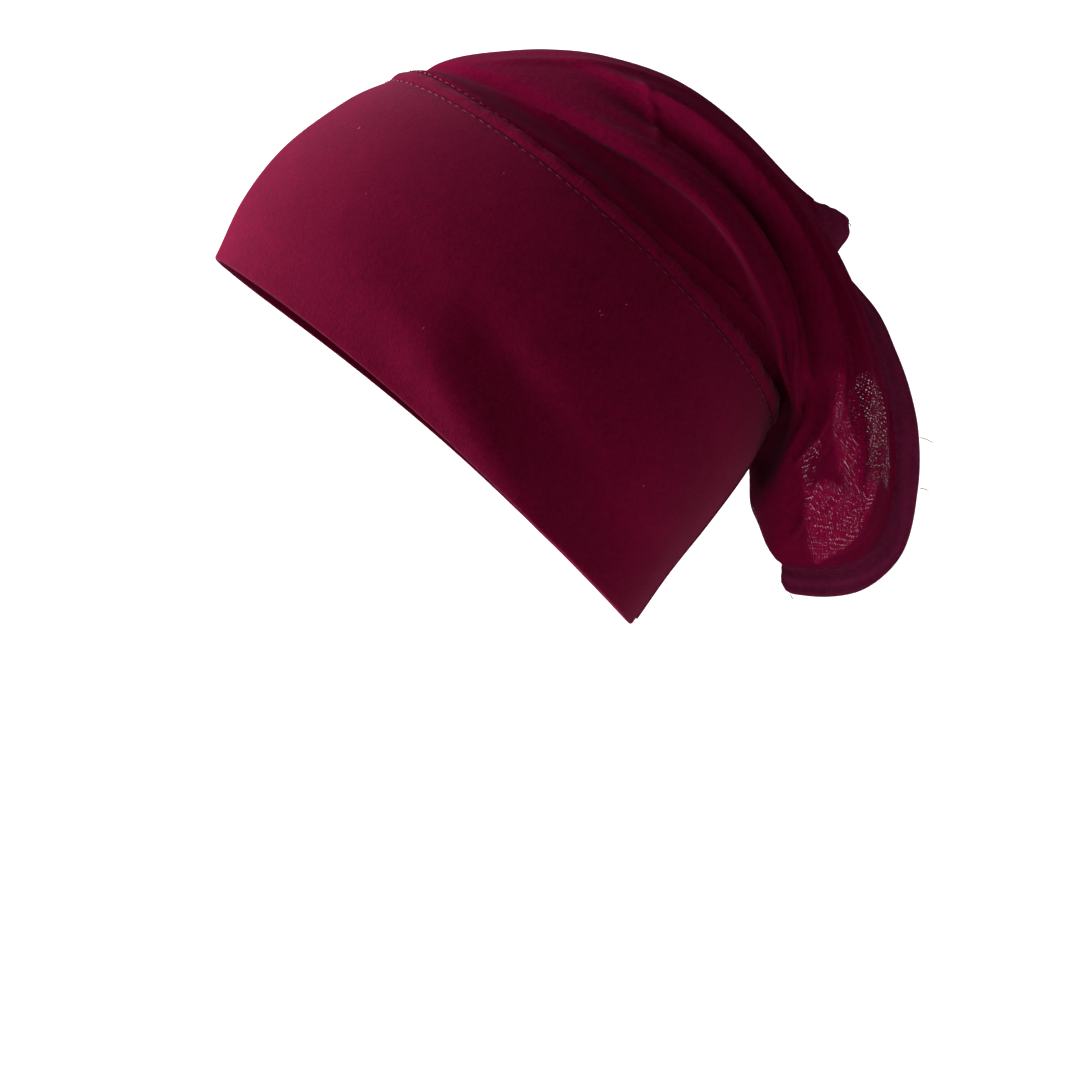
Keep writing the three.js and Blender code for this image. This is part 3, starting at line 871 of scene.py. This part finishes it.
class CAP_OT_back_seam(bpy.types.Operator):
    """Makes the narrow raised seam down the band's back"""

    bl_idname = "cap.back_seam"
    bl_label = "Back Seam"

    def execute(self, context):
        surface, sizes, _ = cap_setting()
        places = np.linspace(0.1, BAND_END - 0.1, BACK_SEAM_STATIONS)
        middle = surface.cloth(np.pi, places, 0.0002)
        normal = surface.normals(surface.folded, np.pi, places)
        # Half a round outline, blunted, with a groove along its middle
        angle = np.linspace(0, np.pi, BACK_SEAM_POINTS)
        side = -np.cos(angle) * sizes.back_seam_width / 2
        rise = np.sin(angle) ** 0.5 * 0.001 * (1 - 0.3 * np.exp(-((side / 0.0005) ** 2)))
        points = middle + rise[:, None, None] * normal
        points[..., 0] += side[:, None]
        mesh = strip_mesh("back_seam_ridge", points, along_lengths(middle))
        add_piece("back_seam_ridge", mesh, "brushed_jersey", ["back_seam"])
        return {"FINISHED"}


def spindles(centres, ahead, up, sizes):
    """Many small spindles in one array: rings of points whose radius follows a
    rounded profile, arched away from the cloth."""
    t = np.linspace(-1, 1, STITCH_RINGS)
    radius = sizes.thread / 2 * np.sqrt(1.02 - t**2)
    angle = turns(THREAD_SIDES)
    side = np.cross(ahead, up)
    rise = sizes.thread * STITCH_ARCH * (1 - t**2)
    ring_up = rise[:, None] + radius[:, None] * np.sin(angle)
    ring_side = radius[:, None] * np.cos(angle)
    return (
        centres[:, None, None]
        + ahead[:, None, None] * (t * sizes.stitch_length / 2)[:, None, None]
        + side[:, None, None] * ring_side[..., None]
        + up[:, None, None] * ring_up[..., None]
    )


def add_threads(name, threads, material):
    """Makes one piece of many closed tubes, each given by its rings of points."""
    threads = np.array(threads)
    count, rings, sides = threads.shape[:3]
    last = (rings - 1) * sides
    faces = [list(range(sides))[::-1], [last + k for k in range(sides)]]
    for start in range(0, last, sides):
        for k in range(sides):
            here, beside = start + k, start + (k + 1) % sides
            faces.append([here, beside, beside + sides, here + sides])
    shifted = [[v + copy * rings * sides for v in face] for copy in range(count) for face in faces]
    add_piece(name, new_mesh(name, threads, shifted), material)


def stitch_row(path, up, sizes, seed):
    """Centres, headings and normals of stitches along a path, with a little play."""
    lengths = along_lengths(path)
    count = int(lengths[-1] / sizes.stitch_pitch)
    draw = np.random.default_rng(seed)
    at = (np.arange(count) + 0.5 + draw.uniform(-0.08, 0.08, count)) * lengths[-1] / count
    ahead = np.gradient(path, axis=0)

    def read(values):
        return np.stack([np.interp(at, lengths, values[:, k]) for k in range(3)], axis=1)

    heading, normal = read(ahead), read(up)
    heading /= np.linalg.norm(heading, axis=1, keepdims=True)
    normal /= np.linalg.norm(normal, axis=1, keepdims=True)
    heading = heading + np.cross(heading, normal) * draw.uniform(-0.14, 0.14, count)[:, None]
    return read(path), heading, normal


class CAP_OT_stitches(bpy.types.Operator):
    """Sews the rows of stitches beside the crown seam, on the hem and at the nape"""

    bl_idname = "cap.stitches"
    bl_label = "Stitches"

    def execute(self, context):
        surface, sizes, _ = cap_setting()
        full = np.linspace(0, 2 * np.pi, ROUND_STATIONS)
        beside_seam = (BAND_END - 0.06, CROWN_START + 0.16)
        rows = [self.row(surface, full, place, number) for number, place in enumerate(beside_seam)]
        self.sew("seam_stitches", rows)
        start, way, face = hem_frame(surface, np.linspace(0.005, 0.995, HEM_STATIONS))
        path, lift = start + way * 0.2, face * sizes.hem_thickness * 0.36
        rows = [stitch_row(path + lift, face, sizes, 5), stitch_row(path - lift, -face, sizes, 6)]
        self.sew("hem_stitches", rows)
        places = np.linspace(0.15, BAND_END - 0.15, NAPE_STATIONS)
        aside = 0.0042 / (sizes.band_width / 2) * 0.75
        rows = [self.row(surface, np.pi - aside, places, 8), self.row(surface, np.pi + aside, places, 9)]
        self.sew("nape_stitches", rows)
        return {"FINISHED"}

    def row(self, surface, turn, place, seed):
        """Stitches on the cloth along turns or places."""
        path = surface.cloth(turn, place, surface.sizes.thread * 0.25)
        return stitch_row(path, surface.normals(surface.folded, turn, place), surface.sizes, seed)

    def sew(self, name, rows):
        """Makes one piece of rows of stitches."""
        parts = (np.vstack(part) for part in zip(*rows))
        threads = spindles(*parts, bpy.context.scene.cap_sizes)
        add_threads(name, threads, "sewing_thread")


def tube(path, radius):
    """A thin closed tube along a path, tapered at its ends."""
    ahead = np.gradient(path, axis=0)
    ahead /= np.linalg.norm(ahead, axis=1, keepdims=True)
    side = np.cross(ahead, [0.31, 0.2, 0.93])
    side /= np.linalg.norm(side, axis=1, keepdims=True)
    other = np.cross(ahead, side)
    angle = turns(THREAD_SIDES)
    share = np.linspace(-1, 1, len(path))
    size = radius * np.sqrt(1.05 - share**4)
    ring = side[:, None] * np.cos(angle)[:, None] + other[:, None] * np.sin(angle)[:, None]
    return path[:, None] + ring * size[:, None, None]


class CAP_OT_loose_ends(bpy.types.Operator):
    """Adds the stray thread ends on the hem and the lint on the cloth"""

    bl_idname = "cap.loose_ends"
    bl_label = "Loose Ends"

    def execute(self, context):
        surface, _, _ = cap_setting()
        draw = np.random.default_rng(21)
        steps = np.linspace(0, 1, STRAY_RINGS)
        start, way, _ = hem_frame(surface, np.linspace(0, 1, STRAY_STATIONS))
        threads = []
        for index in STRAY_ENDS:
            out = way[index] / np.linalg.norm(way[index])
            bend = draw.normal(0, 1, 3) * 0.0016
            path = start[index] + way[index] + np.outer(steps, out) * 0.003 + np.outer(steps**2, bend)
            threads.append(tube(path, 0.00018))
        add_threads("thread_ends", threads, "sewing_thread")
        threads = []
        for half_turn, place in LINT:
            centre = surface.cloth(half_turn * np.pi, place, 0.00022)
            wander = np.cumsum(draw.normal(0, 1, (STRAY_RINGS, 3)), axis=0) * 0.00018
            normal = surface.normals(surface.folded, half_turn * np.pi, place)
            wander -= np.outer(wander @ normal, normal) * 0.85
            threads.append(tube(centre + wander, 0.00008))
        add_threads("lint", threads, "pale_lint")
        return {"FINISHED"}


class CAP_OT_stage(bpy.types.Operator):
    """Sets the pale floor, the soft lights and the camera"""

    bl_idname = "cap.stage"
    bl_label = "Stage"

    def execute(self, context):
        scene, stage = context.scene, context.scene.cap_stage
        # A floor that turns up into a wall behind the cap, through a quarter of a circle
        turn = np.linspace(0, np.pi / 2, CURVE_STEPS)
        curve = FLOOR_CURVE * (1 - np.sin(turn))
        out = np.hstack([[FLOOR_REACH], curve - stage.wall_distance, [-stage.wall_distance]])
        up = np.hstack([[0.0], FLOOR_CURVE * (1 - np.cos(turn)), [WALL_HEIGHT]]) - stage.floor_drop
        points = np.array([(x, y, z) for y in (-FLOOR_REACH, FLOOR_REACH) for x, z in zip(out, up)])
        faces = [(k, k + 1, k + 1 + len(out), k + len(out)) for k in range(len(out) - 1)]
        mesh = new_mesh("floor", points, faces)
        floor = add_object("floor", mesh)
        look = Finish("pale_floor")
        grain = look.speckle(40, 2)
        shade = look.mottled(1.0, grain, 0.01)
        look.set(Base_Color=look.tint(scene.cap_colours.floor, shade), Roughness=0.9)
        mesh.materials.append(look.material)
        for name, row in LIGHTS.items():
            self.light(name, getattr(stage, f"{name}_power"), *row)
        world = bpy.data.worlds.new("white_surroundings")
        world.use_nodes = True
        sky = world.node_tree.nodes["Background"]
        sky.inputs["Color"].default_value = (1, 1, 1, 1)
        sky.inputs["Strength"].default_value = stage.sky
        scene.world = world
        scene.view_settings.view_transform = "Standard"
        camera = bpy.data.cameras.new("camera")
        camera.lens = stage.camera_lens
        camera.sensor_width = 36
        camera.clip_start = 0.01
        view = add_object("camera", camera)
        view.location = (stage.camera_distance, stage.camera_back, -stage.camera_drop)
        view.rotation_euler = (math.pi / 2, 0, math.pi / 2)
        scene.camera = view
        return {"FINISHED"}

    def light(self, name, power, size, place, aim, spread):
        """A square soft light at a place, turned to face another, spread in degrees."""
        lamp = bpy.data.lights.new(name, "AREA")
        lamp.energy = power
        lamp.size = size
        lamp.spread = math.radians(spread)
        holder = add_object(name, lamp)
        holder.location = place
        holder.visible_camera = False
        x, y, z = (start - end for start, end in zip(place, aim))
        holder.rotation_euler = (math.atan2(math.hypot(x, y), z), 0, math.atan2(y, x) + math.pi / 2)


class CAP_PT_panel(bpy.types.Panel):
    """Lists the cap's pieces and its sizes"""

    bl_idname = "CAP_PT_panel"
    bl_label = "Underscarf Cap"
    bl_space_type = "VIEW_3D"
    bl_region_type = "UI"
    bl_category = "Underscarf Cap"

    def draw(self, context):
        for operator in OPERATORS:
            self.layout.operator(operator.bl_idname)
        for name, group in GROUPS.items():
            box = self.layout.box()
            for key in group.__annotations__:
                box.prop(getattr(context.scene, name), key)


OPERATORS = (
    CAP_OT_stage,
    CAP_OT_seam,
    CAP_OT_headband,
    CAP_OT_hem,
    CAP_OT_crown,
    CAP_OT_back_seam,
    CAP_OT_stitches,
    CAP_OT_loose_ends,
)
GROUPS = {"cap_sizes": CapSizes, "cap_colours": CapColours, "cap_stage": CapStage}


def register():
    for key, group in GROUPS.items():
        bpy.utils.register_class(group)
        setattr(bpy.types.Scene, key, PointerProperty(type=group))
    for operator in OPERATORS:
        bpy.utils.register_class(operator)
    bpy.utils.register_class(CAP_PT_panel)


def unregister():
    bpy.utils.unregister_class(CAP_PT_panel)
    for operator in reversed(OPERATORS):
        bpy.utils.unregister_class(operator)
    for key, group in GROUPS.items():
        delattr(bpy.types.Scene, key)
        bpy.utils.unregister_class(group)


def main():
    register()
    for operator in OPERATORS:
        group, name = operator.bl_idname.split(".")
        getattr(getattr(bpy.ops, group), name)()


if __name__ == "__main__":
    main()
